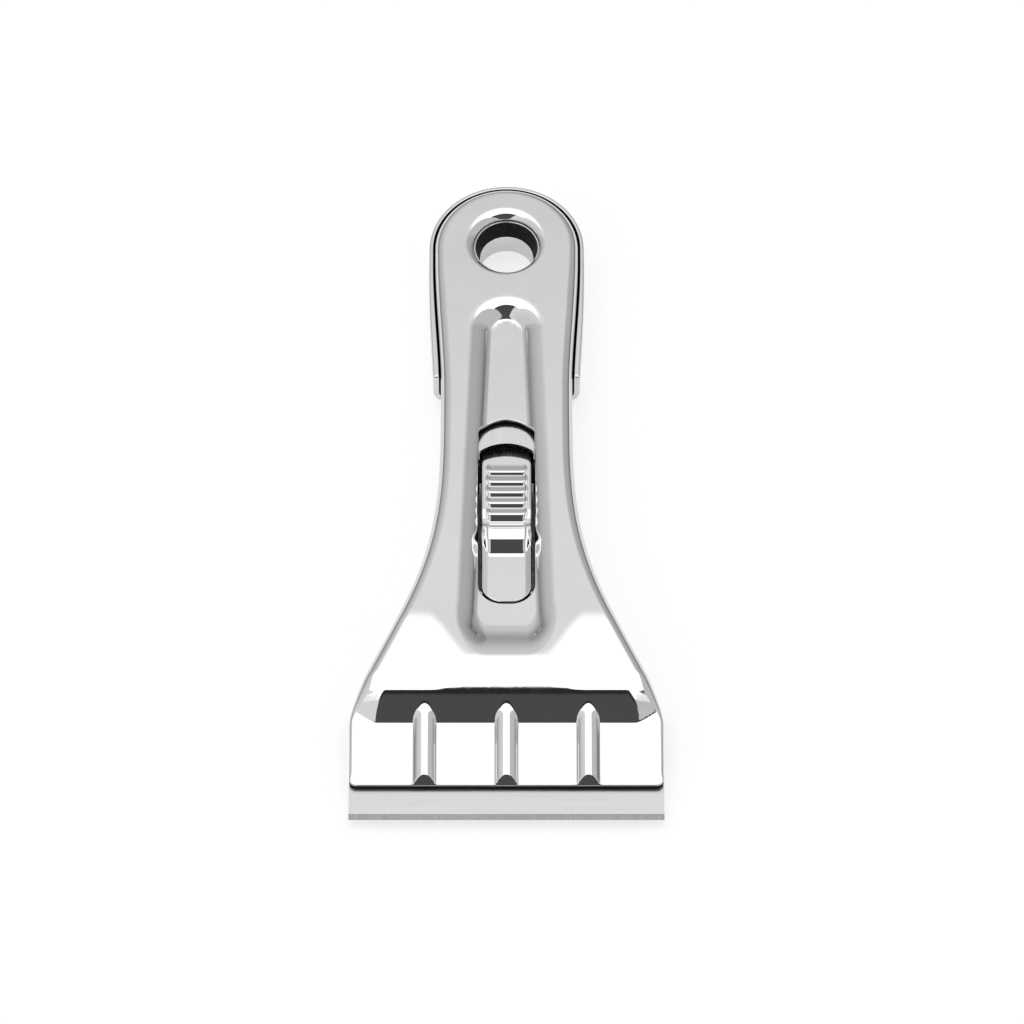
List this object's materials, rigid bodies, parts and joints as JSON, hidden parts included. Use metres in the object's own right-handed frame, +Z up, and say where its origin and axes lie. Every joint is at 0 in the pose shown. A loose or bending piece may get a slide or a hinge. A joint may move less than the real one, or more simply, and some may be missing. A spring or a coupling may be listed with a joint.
{
  "type": "razor blade scraper",
  "caption": "All-metal retractable razor blade scraper: pressed chrome shells with a hanging hole, a sliding blade carriage and a ridged thumb button that tips and slides in a slot.",
  "frame": {"origin": "on the table under the middle of the tool, with the blade out", "axes": "+X across the blade, +Y from the blade to the head, +Z up out of the table"},
  "size_m": [0.039, 0.094, 0.0071],
  "materials": {
    "upper_chrome": "bright chrome plate on pressed steel",
    "lower_chrome": "bright chrome plate on pressed steel",
    "eyelet_chrome": "bright plated tube",
    "button_chrome": "bright chrome plate on pressed steel",
    "carrier_steel": "zinc-plated sheet",
    "blade_steel": "satin rolled steel with a ground edge",
    "spring_steel": "blued spring steel",
    "rivet_steel": "plain steel"
  },
  "bodies": {
    "housing": {"upper_shell": "upper_chrome", "lower_shell": "lower_chrome", "hanging_eyelet": "eyelet_chrome"},
    "carriage": {"blade_carrier": "carrier_steel", "blade": "blade_steel", "blade_clamp": "spring_steel", "blade_studs": "rivet_steel", "clamp_rivets": "rivet_steel", "button_pin": "rivet_steel", "button_spring": "spring_steel", "spring_rivets": "rivet_steel", "detent_spring": "spring_steel", "detent_rivets": "rivet_steel"},
    "button": {"thumb_button": "button_chrome"}
  },
  "joints": [
    {"name": "blade_slide", "type": "slide", "parent": "housing", "child": "carriage", "axis": [0, 1, 0], "range_m": [0, 0.0052]},
    {"name": "button_press", "type": "hinge", "parent": "carriage", "child": "button", "pos_m": [0, -0.0155, 0.00415], "axis": [-1, 0, 0], "range_deg": [0, 2.2], "stiffness_Nm_per_rad": 1, "springref_deg": -1.15, "deforming": ["button_spring"]}
  ]
}
